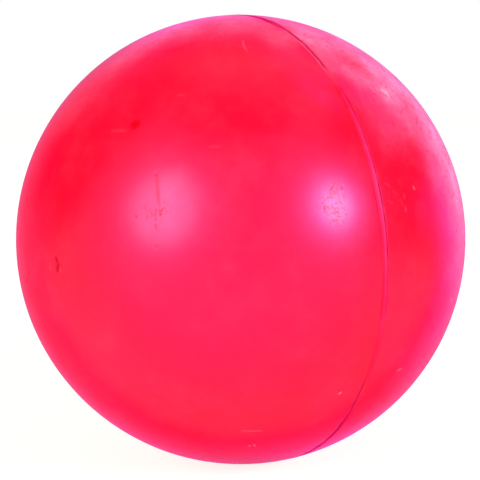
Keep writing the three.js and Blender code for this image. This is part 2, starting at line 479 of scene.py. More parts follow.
@dataclass(frozen=True)
class SeamCourse:
    """How the seam changes on its way round the ball.

    Turns are in radians, and lengths in metres. Places across the gum, and widths
    and edges given by them, run from -1 at the left rim to 1 at the right rim.
    """

    crown_height: float
    half_width: float
    crease_depth: float = 0.1 * MM
    crease_width: float = 0.12 * MM
    # How far the painted shade beside a crease reaches into the skin
    crease_shade_width: float = 0.27 * MM
    groove_depth: float = 0.1 * MM
    groove_width: float = 0.26 * MM
    slope_foot: float = -0.35
    slope_top: float = 0.45
    slope_drop: float = 0.4
    crest_place: float = 0.25
    crest_width: float = 0.5
    right_crease_edge: tuple[float, float] = (0.55, 0.85)
    left_crease_edge: tuple[float, float] = (-0.95, -0.6)

    # How much the wavering trim moves a line across the gum, widens a crease and
    # deepens it, how far its depth lags behind, and the share of a crease's reach
    # that has its full depth
    trim_wander: float = 0.15
    trim_widening: float = 0.4
    trim_deepening: float = 0.35
    trim_lag: float = 0.3
    full_depth_share: float = 0.3

    # The trim's waves, each by its strength, its count round the ball and its start
    trim_waves: tuple[tuple[float, float, float], ...] = (
        (0.4, 29.0, 0.4), (0.35, 53.0, 2.0), (0.25, 97.0, 0.0),
    )

    # How far the gum stands proud, as a share of its crown
    ridge: Course = (
        (0, 0.2), (12, 0.2), (20, 0.0), (43, 0.0), (48, 0.1), (60, 0.18), (68, 0.25), (86, 0.14),
        (94, 0.08), (108, 0.03), (114, 0.0), (158, 0.0), (180, 0.4), (230, 0.6), (300, 0.4), (360, 0.2),
    )
    # How deep the crease is on the gum's right and on its left
    right_crease: Course = (
        (0, 1.0), (13, 1.0), (18, 0.2), (22, 0.0), (42, 0.0), (47, 0.9), (58, 0.7), (66, 1.0), (84, 0.9),
        (94, 0.35), (102, 0.0), (165, 0.0), (190, 0.7), (300, 0.6), (360, 0.8),
    )
    left_crease: Course = (
        (0, 1.0), (13, 1.0), (18, 0.2), (22, 0.0), (56, 0.1), (68, 0.35), (90, 0.15), (96, 0.28),
        (106, 0.12), (112, 0.0), (180, 0.2), (300, 0.3), (360, 0.7),
    )
    # How deep the thin groove in the gum is, and its place across the gum
    groove: Course = (
        (0, 0.0), (12, 0.3), (17, 1.0), (34, 1.0), (39, 0.4), (43, 0.0), (113, 0.0), (119, 0.6),
        (135, 1.0), (158, 1.0), (175, 0.4), (185, 0.0), (360, 0.0),
    )
    groove_place: Course = (
        (0, 0.7), (14, 0.7), (22, 0.3), (40, 0.2), (113, -0.3), (122, -0.5), (129, -0.2), (135, 0.0),
        (360, 0.7),
    )
    # How much film covers the gum, how blush and paleness along its crest paint the
    # ridge's highlight, and how dark the bare gum is
    film: Course = ((0, 0.0), (17, 0.0), (22, 0.3), (34, 0.25), (44, 0.0), (360, 0.0))
    blush: Course = (
        (0, 0.0), (20, 0.0), (44, 0.1), (58, 0.36), (86, 0.3), (96, 0.2), (108, 0.1), (120, 0.0), (360, 0.0),
    )
    crest_painted_highlight: Course = ((0, 0.0), (48, 0.0), (60, 0.02), (70, 0.04), (86, 0.02), (100, 0.0), (360, 0.0))
    bare: Course = ((0, 0.55), (12, 0.55), (17, 0.1), (20, 0.0), (345, 0.0), (360, 0.55))

    def along(self, course: Course, turn: np.ndarray) -> np.ndarray:
        """What a course has at some turns."""
        degrees, shares = zip(*course)
        return np.interp(np.degrees(turn) % 360.0, degrees, shares)

    def trim(self, turn: np.ndarray) -> np.ndarray:
        """How the hand that trimmed the gum wavered, from about -1 to 1."""
        return sum(strength * np.sin(count * turn + start) for strength, count, start in self.trim_waves)

    def uneven(self, course: Course, turn: np.ndarray) -> np.ndarray:
        """What a course has at some turns, made a little uneven."""
        trim = self.trim(turn + self.trim_lag)
        return np.clip(self.along(course, turn) * (1.0 + self.trim_deepening * trim), 0.0, 1.0)

    def crease_beyond(self, half: Half, beyond: np.ndarray, turn: np.ndarray, width: float) -> np.ndarray:
        """How much of the crease, or of the painted shade beside it, lies in a half's skin.

        Args:
            half: The half.
            beyond: Distance from the half's rim.
            turn: Turns round the ball.
            width: How far it reaches into the skin.

        Returns:
            The share of the crease's depth, from 0 to 1.
        """
        course = self.right_crease if half is Half.RIGHT else self.left_crease
        reach = width * (1.0 + self.trim_widening * self.trim(turn))
        fading = smooth_step(beyond, self.full_depth_share * reach, reach)
        return self.uneven(course, turn) * (1.0 - fading)

    def gum_creases(self, across: np.ndarray | float, turn: np.ndarray) -> np.ndarray:
        """How much of the two creases lies in the gum.

        Args:
            across: Place across the gum.
            turn: Turns round the ball.

        Returns:
            The share of the creases' depth, from 0 to 1.
        """
        right = self.uneven(self.right_crease, turn) * smooth_step(across, *self.right_crease_edge)
        left = self.uneven(self.left_crease, turn) * (1.0 - smooth_step(across, *self.left_crease_edge))
        return right + left

    def gum_groove(self, across: np.ndarray | float, turn: np.ndarray) -> np.ndarray:
        """How much of the thin groove lies at a place across the gum.

        Args:
            across: Place across the gum.
            turn: Turns round the ball.

        Returns:
            The share of the groove's depth, from 0 to 1.
        """
        place = self.along(self.groove_place, turn) + self.trim_wander * self.trim(turn)
        gap = (across - place) * self.half_width / self.groove_width
        return self.uneven(self.groove, turn) * np.exp(-(gap**2))

    def gum_slope(self, across: np.ndarray | float, turn: np.ndarray) -> np.ndarray:
        """Height of the ridge, which rises gently from the left and drops on the right.

        Args:
            across: Place across the gum.
            turn: Turns round the ball.

        Returns:
            The ridge's height at each turn.
        """
        top = self.slope_top + self.trim_wander * self.trim(turn)
        rising = np.clip((across - self.slope_foot) / (top - self.slope_foot), 0.0, 1.0)
        falling = 1.0 - smooth_step(across - top, 0.0, self.slope_drop)
        return self.crown_height * self.along(self.ridge, turn) * rising * falling

    def gum_height(self, across: np.ndarray | float, turn: np.ndarray) -> np.ndarray:
        """Height of the gum's outer edge over its sides, at each turn."""
        creases = self.crease_depth * self.gum_creases(across, turn)
        return self.gum_slope(across, turn) - creases - self.groove_depth * self.gum_groove(across, turn)

    def gum_tones(self, across: np.ndarray, turn: np.ndarray) -> np.ndarray:
        """How film covers the gum, and where it has a painted highlight, painted shade or its bare dark.

        Args:
            across: Places across the gum.
            turn: Turns round the ball.

        Returns:
            Rows of film, blush, scuffs, paleness and darkness, each from 0 to 1.
        """
        crest = np.exp(-(((across - self.crest_place) / self.crest_width) ** 2))
        # Dark in the creases and the groove is painted shade
        dark_lines = np.maximum(self.gum_creases(across, turn), self.gum_groove(across, turn))
        return np.stack((
            self.along(self.film, turn),
            self.along(self.blush, turn) * crest,
            np.zeros(np.shape(turn)),
            self.along(self.crest_painted_highlight, turn) * crest,
            np.maximum(dark_lines, self.along(self.bare, turn)),
        )).clip(0.0, 1.0)


class Skin:
    """The ball's outer surface: where the rubber lies below or above a true ball."""

    UNEVENNESS = 0.02 * MM
    RIM_SWELL = 0.03 * MM
    RIM_SWELL_WIDTH = 1.5 * MM
    PLUG_DIMPLE_DEPTH = 0.03 * MM
    PLUG_DIMPLE_RADIUS = 0.9 * MM
    PLUG_STAIN_RADIUS = 0.84 * MM

    # Each swell of the uneven skin is the product of two waves: its share, then each
    # wave's radians along X, Y and Z per radius, and its start
    SWELLS = (
        (1.0, (5.1, 2.3, 0.0), 0.0, (-1.7, 0.0, 4.3), 0.6),
        (0.6, (0.0, 9.7, 3.1), 0.0, (8.3, 0.0, -4.9), 1.9),
    )
    # How far all swells are sunk, so that few stand over the true ball
    SWELL_SINK = 0.6

    def __init__(self, sizes: BallSizes, seam: SeamCourse) -> None:
        """Keep the ball's sizes and the seam's course."""
        self.sizes = sizes
        self.seam = seam

    def rise(self, points: np.ndarray, half: Half, wear_and_painted_light: WearAndPaintedLight) -> np.ndarray:
        """Height of the skin over the true ball.

        Args:
            points: Places on the true ball, as rows.
            half: The half that they lie on.
            wear_and_painted_light: That half's marks and blotches.

        Returns:
            The height at each place.
        """
        directions = unit_rows(points)
        return (
            self.uneven(directions)
            + self.seam_rise(points, half)
            + self.plug_rise(directions)
            + self.mark_rise(directions, wear_and_painted_light.marks)
        )

    def uneven(self, directions: np.ndarray) -> np.ndarray:
        """Faint swells that a cured ball keeps from its mould.

        Args:
            directions: Unit vectors to the places, as rows.

        Returns:
            The height at each place.
        """
        swell = np.zeros(len(directions))
        for share, first, first_start, second, second_start in self.SWELLS:
            waves = np.sin(directions @ first + first_start), np.sin(directions @ second + second_start)
            swell += share * waves[0] * waves[1]
        return self.UNEVENNESS * (swell - self.SWELL_SINK)

    def seam_rise(self, points: np.ndarray, half: Half) -> np.ndarray:
        """The crease beside the gum, and the faint swell of the squeezed rim.

        Args:
            points: Places on the true ball, as rows.
            half: The half that they lie on.

        Returns:
            The height at each place.
        """
        turn = turns_round(points)
        beyond = np.abs(points[:, 0]) - self.sizes.rim_distance
        ridge = self.seam.along(self.seam.ridge, turn)
        swell = self.RIM_SWELL * np.exp(-((beyond / self.RIM_SWELL_WIDTH) ** 2)) * ridge
        crease = self.seam.crease_beyond(half, beyond, turn, self.seam.crease_width)
        return swell - self.seam.crease_depth * crease

    def beside_plug(self, directions: np.ndarray) -> np.ndarray:
        """Distance of places on the ball from the needle plug's axis.

        Args:
            directions: Unit vectors to the places, as rows.

        Returns:
            The distance of each place, endless on the ball's far side.
        """
        along = directions @ np.array(self.sizes.plug_axis)
        beside = self.sizes.outer_radius * np.sqrt(np.clip(1.0 - along**2, 0.0, 1.0))
        return np.where(along < 0.0, np.inf, beside)

    def plug_rise(self, directions: np.ndarray) -> np.ndarray:
        """The shallow dimple round the needle plug."""
        beside = self.beside_plug(directions) / self.PLUG_DIMPLE_RADIUS
        return -self.PLUG_DIMPLE_DEPTH * np.exp(-(beside**2))

    def plug_stain(self, directions: np.ndarray) -> np.ndarray:
        """The dark stain over the needle plug, from 0 to 1."""
        return np.exp(-((self.beside_plug(directions) / self.PLUG_STAIN_RADIUS) ** 4))

    def mark_rise(self, directions: np.ndarray, marks: tuple[Mark, ...]) -> np.ndarray:
        """The cuts and nicks, as depths below the skin.

        Args:
            directions: Unit vectors to the places, as rows.
            marks: The half's marks.

        Returns:
            The height at each place.
        """
        rise = np.zeros(len(directions))
        for mark in marks:
            rows, gap, along = mark.nearness(directions, self.sizes.outer_radius)
            rise[rows] -= mark.depth * MM * mark.profile(gap, along)
        return rise

    def tones(self, points: np.ndarray, half: Half, wear_and_painted_light: WearAndPaintedLight) -> np.ndarray:
        """How film, blush and wear cover the rubber, with painted shade beside the creases
        and painted highlights and reflections among the film and blush.

        Args:
            points: Places on the skin, as rows.
            half: The half that they lie on.
            wear_and_painted_light: That half's marks and blotches.

        Returns:
            Rows of film, blush, scuffs, paleness and darkness, each from 0 to 1.
        """
        directions = unit_rows(points)
        turn = turns_round(points)
        beyond = np.abs(points[:, 0]) - self.sizes.rim_distance
        pale = np.zeros(len(points))
        # Painted shade beside the gum's creases starts the darkness
        dark = self.seam.crease_beyond(half, beyond, turn, self.seam.crease_shade_width)
        for mark in wear_and_painted_light.marks:
            rows, gap, along = mark.nearness(directions, self.sizes.outer_radius)
            strength = mark.profile(gap, along)
            pale[rows] = np.maximum(pale[rows], mark.pale * strength)
            dark[rows] = np.maximum(dark[rows], mark.dark * strength)
        soft = np.zeros((3, len(points)))
        for blotch in wear_and_painted_light.blotches:
            shares = np.array((blotch.film, blotch.blush, blotch.scuffs))
            soft += shares[:, None] * blotch.cover(directions, self.sizes.outer_radius)
        return np.vstack((soft, pale, dark)).clip(0.0, 1.0)


class RingMesh:
    """A mesh of rings about the mould axis, each joined to the one before it.

    A ring may have as many points as the last one, half or twice as many, or be
    one point on the axis.
    """

    def __init__(self) -> None:
        """Start with no rings. A ring is kept as its first point's number and its count."""
        self.points: list[tuple[float, float, float]] = []
        self.faces: list[tuple[int, ...]] = []
        self.last: tuple[int, int] | None = None
        self.first: tuple[int, int] | None = None

    def add(self, along: np.ndarray | float, radius: np.ndarray | float, count: int) -> None:
        """Add a ring.

        Args:
            along: Place along the mould axis, one for all points or one for each.
            radius: Distance from the axis, one for all points or one for each.
            count: The number of points, or 1 for a point on the axis.
        """
        turn = np.arange(count) * 2.0 * math.pi / count
        across = np.broadcast_to(radius, count) if count > 1 else np.zeros(1)
        ring = (len(self.points), count)
        places = (np.broadcast_to(along, count), -across * np.sin(turn), across * np.cos(turn))
        rows = np.stack(places, axis=1)
        self.points.extend(map(tuple, rows.tolist()))
        if self.last is not None:
            self.join(self.last, ring)
        else:
            self.first = ring
        self.last = ring

    def close(self) -> None:
        """Join the last ring to the first one."""
        self.join(self.last, self.first)

    def join(self, old: tuple[int, int], new: tuple[int, int]) -> None:
        """Make the faces between two rings.

        Args:
            old: The first point's number and the count of points of one ring.
            new: The same of the other ring.
        """
        (a, many), (b, few) = old, new
        if many < few:
            (a, many), (b, few) = new, old
        for step in range(few if few > 1 else many):
            here = (a + step, a + (step + 1) % many)
            if few == 1:
                self.faces.append((*here, b))
            elif many == few:
                self.faces.append((*here, b + (step + 1) % few, b + step))
            else:
                start, middle, end = a + 2 * step, a + 2 * step + 1, a + (2 * step + 2) % many
                near, far = b + step, b + (step + 1) % few
                self.faces.extend(((start, middle, near), (middle, far, near), (middle, end, far)))

    def to_mesh(self, name: str) -> bpy.types.Mesh:
        """Make the mesh, with its faces pointing out.

        Args:
            name: The mesh's name.

        Returns:
            The mesh.
        """
        mesh = bpy.data.meshes.new(name)
        mesh.from_pydata(self.points, [], self.faces)
        shape = bmesh.new()
        shape.from_mesh(mesh)
        bmesh.ops.recalc_face_normals(shape, faces=shape.faces)
        shape.to_mesh(mesh)
        shape.free()
        return mesh


def points_of_mesh(mesh: bpy.types.Mesh) -> np.ndarray:
    """Read a mesh's corner points.

    Args:
        mesh: The mesh.

    Returns:
        The points, as an array of rows.
    """
    flat = np.zeros(3 * len(mesh.vertices))
    mesh.vertices.foreach_get("co", flat)
    return flat.reshape(-1, 3)


def place_points(mesh: bpy.types.Mesh, points: np.ndarray) -> None:
    """Move a mesh's corner points to an array's rows."""
    mesh.vertices.foreach_set("co", points.ravel())
    mesh.update()


def new_object(name: str, data: bpy.types.ID) -> bpy.types.Object:
    """Put a mesh, a camera or a lamp in the scene as an object.

    Args:
        name: The object's name.
        data: The mesh, camera or lamp.

    Returns:
        The object.
    """
    thing = bpy.data.objects.new(name, data)
    bpy.context.scene.collection.objects.link(thing)
    return thing


def store_masks(mesh: bpy.types.Mesh, tones: np.ndarray) -> None:
    """Keep the masks in a mesh, where the finishes read them by their names.

    Args:
        mesh: The mesh.
        tones: Rows of film, blush, scuffs, paleness and darkness, with a column for
            each corner point.
    """
    for name, values in zip(MASKS, tones):
        layer = mesh.attributes.new(name, "FLOAT", "POINT")
        layer.data.foreach_set("value", values.astype(np.float32))


@dataclass(frozen=True)
class Piece:
    """What every piece of the ball has."""

    name: str
    node: str
    slot: str

    SHARP_ANGLE = 50.0

    def settle(self, thing: bpy.types.Object, material: bpy.types.Material) -> None:
        """Dress a finished mesh and tie it to the frame.

        Args:
            thing: The piece's object.
            material: Its finish.
        """
        thing.data.materials.clear()
        thing.data.materials.append(material)
        thing.data.shade_smooth()
        thing.data.set_sharp_from_angle(angle=math.radians(self.SHARP_ANGLE))
        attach(thing, "root")
        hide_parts(self.node)
        log.info("%s: %d faces, stands for %s", self.name, len(thing.data.polygons), self.node)


@dataclass(frozen=True)
class HalfShell(Piece):
    """A moulded half of the ball, with its rim, its inner wall and its marks."""

    half: Half
    wear_and_painted_light: WearAndPaintedLight
    ring_points: int = 512
    finest_step: float = 0.035 * MM
    step_growth: float = 1.13
    widest_step: float = 0.62 * MM
    inner_rings: int = 16
    fewest_points: int = 8
    refinements: int = 3

    # How near to the pole the last ring comes, in steps
    POLE_GAP = 0.6
    # How early a drawn-in ring halves its points, as a share of a halving
    HALVING_LEAD = 0.4
    # How far beside a mark the first refinement reaches, in millimetres
    FIRST_REACH = 0.9
    # How near to the true ball or to the rim's plane a point counts as on it, and
    # how far into the rim the skin's shape goes
    WALL_TOLERANCE = 0.05 * MM
    RIM_TOLERANCE = 0.001 * MM
    SHAPED_RIM_DEPTH = 0.3 * MM

    def build(self, sizes: BallSizes, skin: Skin, plug: NeedlePlug) -> bpy.types.Object:
        """Make the half shell.

        Args:
            sizes: The ball's sizes.
            skin: The ball's outer surface.
            plug: The needle plug, whose hole the left half has.

        Returns:
            The half shell's object.
        """
        mesh = self.rings(sizes).to_mesh(self.name)
        self.refine(mesh, sizes)
        self.shape(mesh, sizes, skin)
        thing = new_object(self.name, mesh)
        if self.half is Half.LEFT:
            plug.cut_hole(thing, sizes)
        self.store_masks(thing.data, skin)
        return thing

    def rings(self, sizes: BallSizes) -> RingMesh:
        """The bare shell: inner wall, flat rim and outer wall, up to the pole.

        Args:
            sizes: The ball's sizes.

        Returns:
            The shell's rings.
        """
        side = self.half.value
        shell = RingMesh()
        shell.add(side * sizes.inner_radius, 0.0, 1)
        start = math.asin(sizes.rim_distance / sizes.inner_radius)
        for ring in range(1, self.inner_rings + 1):
            angle = math.pi / 2 + (start - math.pi / 2) * ring / self.inner_rings
            self.add_ring(shell, sizes.inner_radius, angle, sizes)
        angle = math.asin(sizes.rim_distance / sizes.outer_radius)
        step = self.finest_step
        while angle < math.pi / 2 - self.POLE_GAP * step / sizes.outer_radius:
            self.add_ring(shell, sizes.outer_radius, angle, sizes)
            angle += step / sizes.outer_radius
            step = min(step * self.step_growth, self.widest_step)
        shell.add(side * sizes.outer_radius, 0.0, 1)
        shell.close()
        return shell

    def add_ring(self, shell: RingMesh, wall_radius: float, angle: float, sizes: BallSizes) -> None:
        """Add a ring of a wall, with fewer points where the wall draws in.

        Args:
            shell: The shell's rings.
            wall_radius: The wall's radius.
            angle: How far from the seam towards the pole, in radians.
            sizes: The ball's sizes.
        """
        across = wall_radius * math.cos(angle)
        halvings = max(0, math.floor(math.log2(sizes.inner_radius / across) + self.HALVING_LEAD))
        count = max(self.fewest_points, self.ring_points >> halvings)
        if shell.last is not None and shell.last[1] > 1:
            count = int(np.clip(count, shell.last[1] // 2, shell.last[1] * 2))
        shell.add(self.half.value * wall_radius * math.sin(angle), across, count)

    def refine(self, mesh: bpy.types.Mesh, sizes: BallSizes) -> None:
        """Split the faces near each mark, so that its shape is in the mesh.

        Args:
            mesh: The shell's mesh.
            sizes: The ball's sizes.
        """
        shape = bmesh.new()
        shape.from_mesh(mesh)
        middle_wall = 0.5 * (sizes.inner_radius + sizes.outer_radius)
        for round_number in range(self.refinements):
            faces = [face for face in shape.faces if face.calc_center_median().length > middle_wall]
            middles = unit_rows(np.array([face.calc_center_median()[:] for face in faces]))
            reach = self.FIRST_REACH / 2**round_number
            chosen = np.zeros(len(faces), bool)
            for mark in self.wear_and_painted_light.marks:
                rows, gap, _ = mark.nearness(middles, sizes.outer_radius)
                chosen[rows[gap < reach + mark.width]] = True
            edges = {edge for face, picked in zip(faces, chosen) if picked for edge in face.edges}
            ordered = sorted(edges, key=lambda edge: edge.index)
            bmesh.ops.subdivide_edges(shape, edges=ordered, cuts=1, use_grid_fill=True)
            shape.edges.index_update()
            shape.faces.index_update()
        shape.to_mesh(mesh)
        shape.free()

    def shape(self, mesh: bpy.types.Mesh, sizes: BallSizes, skin: Skin) -> None:
        """Press the outer wall's points onto the skin.

        Args:
            mesh: The shell's mesh.
            sizes: The ball's sizes.
            skin: The ball's outer surface.
        """
        points = points_of_mesh(mesh)
        lengths = np.linalg.norm(points, axis=1)
        rim = np.abs(points[:, 0]) < sizes.rim_distance + self.RIM_TOLERANCE
        wall = lengths > sizes.outer_radius - self.WALL_TOLERANCE
        outer = wall | (rim & (lengths > sizes.outer_radius - self.SHAPED_RIM_DEPTH))
        true_points = points[outer] / lengths[outer, None] * sizes.outer_radius
        rise = skin.rise(true_points, self.half, self.wear_and_painted_light)
        raised = true_points * (1.0 + rise / sizes.outer_radius)[:, None]
        side = self.half.value
        raised[:, 0] = side * np.maximum(side * raised[:, 0], sizes.rim_distance)
        points[outer] = raised
        place_points(mesh, points)

    def store_masks(self, mesh: bpy.types.Mesh, skin: Skin) -> None:
        """Keep the film and the wear at each point."""
        store_masks(mesh, skin.tones(points_of_mesh(mesh), self.half, self.wear_and_painted_light))


@dataclass(frozen=True)
class GumStrip(Piece):
    """The strip of gum in the seam, crowned and trimmed by hand on the outside."""

    ring_points: int = 1536
    outer_steps: int = 30
    inner_steps: int = 6

    def build(self, sizes: BallSizes, seam: SeamCourse) -> bpy.types.Object:
        """Make the strip.

        Args:
            sizes: The ball's sizes.
            seam: How the seam changes on its way round.

        Returns:
            The strip's object.
        """
        turn = np.arange(self.ring_points) * 2.0 * math.pi / self.ring_points
        strip = RingMesh()
        outer_side = math.sqrt(sizes.outer_radius**2 - sizes.rim_distance**2)
        for across in np.linspace(-1.0, 1.0, self.outer_steps + 1):
            heights = outer_side + seam.gum_height(across, turn)
            strip.add(across * sizes.rim_distance, heights, self.ring_points)
        inner_side = math.sqrt(sizes.inner_radius**2 - sizes.rim_distance**2)
        for step in range(self.inner_steps + 1):
            angle = math.pi * step / self.inner_steps
            bulge = (sizes.bead_radius - inner_side) * math.sin(angle)
            strip.add(sizes.rim_distance * math.cos(angle), inner_side + bulge, self.ring_points)
        strip.close()
        thing = new_object(self.name, strip.to_mesh(self.name))
        points = points_of_mesh(thing.data)
        store_masks(thing.data, seam.gum_tones(points[:, 0] / sizes.rim_distance, turns_round(points)))
        return thing


@dataclass(frozen=True)
class NeedlePlug(Piece):
    """The soft plug of the needle hole, with its end a little hollow."""

    points_around: int = 64
    end_rings: int = 8
    hole_gap: float = 0.008 * MM

    # How far the hole's cutter stands out of the wall, and how deep into the hollow
    # it starts, as a share of the hollow's radius
    CUTTER_OVERSHOOT = 2.0 * MM
    CUTTER_START = 0.5

    def profile(self, sizes: BallSizes, grown: float, top: float) -> list[tuple[float, float]]:
        """Outline of the stepped stem and head, as (height, radius) from its bottom.

        Args:
            sizes: The ball's sizes.
            grown: How much wider and deeper than the plug the outline is.
            top: Height of its flat outer end.

        Returns:
            The outline's points.
        """
        return [
            (sizes.plug_bottom - grown, sizes.plug_head_radius + grown),
            (sizes.plug_seat + grown, sizes.plug_head_radius + grown),
            (sizes.plug_seat + grown, sizes.plug_stem_radius + grown),
            (top, sizes.plug_stem_radius + grown),
        ]

    def turned(self, outline: list[tuple[float, float]], name: str, sizes: BallSizes) -> bpy.types.Mesh:
        """Turn an outline about the plug's axis into a closed mesh.

        Args:
            outline: Points of (height, radius), from the bottom up.
            name: The mesh's name.
            sizes: The ball's sizes.

        Returns:
            The mesh.
        """
        body = RingMesh()
        body.add(outline[0][0], 0.0, 1)
        for height, radius in outline:
            if radius > 0.0:
                body.add(height, radius, self.points_around)
        body.add(outline[-1][0], 0.0, 1)
        mesh = body.to_mesh(name)
        axis = Vector(sizes.plug_axis)
        mesh.transform(Vector((1.0, 0.0, 0.0)).rotation_difference(axis).to_matrix().to_4x4())
        return mesh

    def cut_hole(self, shell: bpy.types.Object, sizes: BallSizes) -> None:
        """Cut the plug's hole through a shell's wall.

        Args:
            shell: The half shell's object.
            sizes: The ball's sizes.
        """
        outline = self.profile(sizes, self.hole_gap, sizes.outer_radius + self.CUTTER_OVERSHOOT)
        outline[0] = (self.CUTTER_START * sizes.inner_radius, outline[0][1])
        cutter = new_object("plug_hole_cutter", self.turned(outline, "plug_hole_cutter", sizes))
        cut = shell.modifiers.new("plug_hole", "BOOLEAN")
        cut.operation = "DIFFERENCE"
        cut.solver = "EXACT"
        cut.object = cutter
        graph = bpy.context.evaluated_depsgraph_get()
        carved = bpy.data.meshes.new_from_object(shell.evaluated_get(graph))
        shell.modifiers.clear()
        shell.data = carved
        bpy.data.objects.remove(cutter)

    def build(self, sizes: BallSizes, skin: Skin) -> bpy.types.Object:
        """Make the plug.

        Args:
            sizes: The ball's sizes.
            skin: The ball's outer surface, with which the plug's end is level.

        Returns:
            The plug's object.
        """
        outline = self.profile(sizes, 0.0, sizes.plug_top)[:-1]
        for ring in range(self.end_rings):
            radius = sizes.plug_stem_radius * (1.0 - ring / self.end_rings)
            outline.append((self.end_height(radius, sizes, skin), radius))
        outline.append((self.end_height(0.0, sizes, skin), 0.0))
        mesh = self.turned(outline, self.name, sizes)
        thing = new_object(self.name, mesh)
        points = points_of_mesh(mesh)
        tones = np.zeros((len(MASKS), len(points)))
        tones[MASKS.index("mark_dark")] = skin.plug_stain(unit_rows(points))
        store_masks(mesh, tones)
        return thing

    def end_height(self, beside: float, sizes: BallSizes, skin: Skin) -> float:
        """Height of the plug's end along its axis, at a distance from the axis."""
        level = math.sqrt(sizes.outer_radius**2 - beside**2)
        return level - skin.PLUG_DIMPLE_DEPTH * math.exp(-((beside / skin.PLUG_DIMPLE_RADIUS) ** 2))


class Mix(Enum):
    """What a mix node mixes, with the places of its two inputs and its output."""

    NUMBERS = ("FLOAT", 2, 3, 0)
    COLOURS = ("RGBA", 6, 7, 2)


class Graph:
    """A shader node tree, with short ways to add nodes and link them."""

    def __init__(self, tree: bpy.types.NodeTree) -> None:
        """Keep the node tree of a material, a world or a group."""
        self.tree = tree

    @classmethod
    def emptied(cls, owner: bpy.types.Material | bpy.types.World) -> Graph:
        """Clear the node tree of a material or a world.

        Args:
            owner: The material or the world.

        Returns:
            Its empty graph.
        """
        owner.use_nodes = True
        owner.node_tree.nodes.clear()
        return cls(owner.node_tree)

    def add(self, kind: str, **values: object) -> bpy.types.Node:
        """Add a node.

        Args:
            kind: The node's type.
            values: Its settings by name.

        Returns:
            The node.
        """
        node = self.tree.nodes.new(kind)
        for name, value in values.items():
            setattr(node, name, value)
        return node

    def feed(self, socket: bpy.types.NodeSocket, value: Source) -> None:
        """Link a socket to another, or set its own value.

        Args:
            socket: The node's input.
            value: The other socket, or the value.
        """
        if isinstance(value, bpy.types.NodeSocket):
            self.tree.links.new(value, socket)
        else:
            socket.default_value = value

    def math(
        self, operation: str, first: Source, second: Source = 0.0, clamp: bool = False
    ) -> bpy.types.NodeSocket:
        """A sum, product or other operation on one or two numbers.

        Args:
            operation: The operation's name.
            first: The first socket or number.
            second: The second one, where there are two.
            clamp: Whether the result stays from 0 to 1.

        Returns:
            The result's socket.
        """
        node = self.add("ShaderNodeMath", operation=operation, use_clamp=clamp)
        self.feed(node.inputs[0], first)
        self.feed(node.inputs[1], second)
        return node.outputs[0]

    def ease(self, value: Source, low: Source, high: Source) -> bpy.types.NodeSocket:
        """Ease from 0 where a value is low to 1 where it is high.

        Args:
            value: The value's socket.
            low: Where the rise starts.
            high: Where the rise ends.

        Returns:
            The result's socket.
        """
        node = self.add("ShaderNodeMapRange", interpolation_type="SMOOTHSTEP")
        for name, given in (("Value", value), ("From Min", low), ("From Max", high)):
            self.feed(node.inputs[name], given)
        return node.outputs["Result"]

    def mix(self, kind: Mix, share: Source, first: Source, second: Source) -> bpy.types.NodeSocket:
        """Mix two numbers or two colours.

        Args:
            kind: What is mixed.
            share: How much of the second one, from 0 to 1.
            first: The number or colour where the share is 0.
            second: The number or colour where the share is 1.

        Returns:
            The result's socket.
        """
        data_type, first_place, second_place, result_place = kind.value
        node = self.add("ShaderNodeMix", data_type=data_type)
        self.feed(node.inputs["Factor"], share)
        self.feed(node.inputs[first_place], first)
        self.feed(node.inputs[second_place], second)
        return node.outputs[result_place]

    def between(self, share: Source, first: Source, second: Source) -> bpy.types.NodeSocket:
        """Mix two numbers."""
        return self.mix(Mix.NUMBERS, share, first, second)

    def blend(self, share: Source, first: Source, second: Source) -> bpy.types.NodeSocket:
        """Mix two colours."""
        return self.mix(Mix.COLOURS, share, first, second)

    def noise(
        self, vector: Source, scale: Source, detail: float, rough: float = 0.55
    ) -> bpy.types.NodeSocket:
        """Cloudy noise.

        Args:
            vector: The socket that gives the place.
            scale: How fine the clouds are, per metre.
            detail: How many finer layers they have.
            rough: How strong the finer layers are.

        Returns:
            The socket that gives the noise, from 0 to 1.
        """
        node = self.add("ShaderNodeTexNoise")
        self.feed(node.inputs["Vector"], vector)
        self.feed(node.inputs["Scale"], scale)
        self.feed(node.inputs["Detail"], detail)
        self.feed(node.inputs["Roughness"], rough)
        return node.outputs["Fac"]


class EffectGroup:
    """A named effect that several finishes share, as a shader node group."""

    def __init__(self, name: str, inputs: dict[str, float], outputs: tuple[str, ...]) -> None:
        """Start the group with its sockets.

        Args:
            name: The effect's name.
            inputs: Its numbers by name, with their usual values. The place on the
                ball comes before them.
            outputs: The names of what it gives, each a number from 0 to 1.
        """
        self.tree = bpy.data.node_groups.new(name, "ShaderNodeTree")
        face = self.tree.interface
        face.new_socket("Place", in_out="INPUT", socket_type="NodeSocketVector")
        for label, usual in inputs.items():
            socket = face.new_socket(label, in_out="INPUT", socket_type="NodeSocketFloat")
            socket.default_value = usual
        for label in outputs:
            face.new_socket(label, in_out="OUTPUT", socket_type="NodeSocketFloat")
        self.graph = Graph(self.tree)
        self.given = self.graph.add("NodeGroupInput").outputs
        self.gives = self.graph.add("NodeGroupOutput").inputs

    def use(self, graph: Graph, place: bpy.types.NodeSocket, **values: float) -> bpy.types.Node:
        """Place the effect in a finish.

        Args:
            graph: The finish's graph.
            place: The socket that gives the place on the ball.
            values: The effect's numbers, by their names in small letters.

        Returns:
            The group's node, whose outputs are the effect's.
        """
        node = graph.add("ShaderNodeGroup", node_tree=self.tree)
        graph.feed(node.inputs["Place"], place)
        for name, value in values.items():
            graph.feed(node.inputs[name.title()], value)
        return node


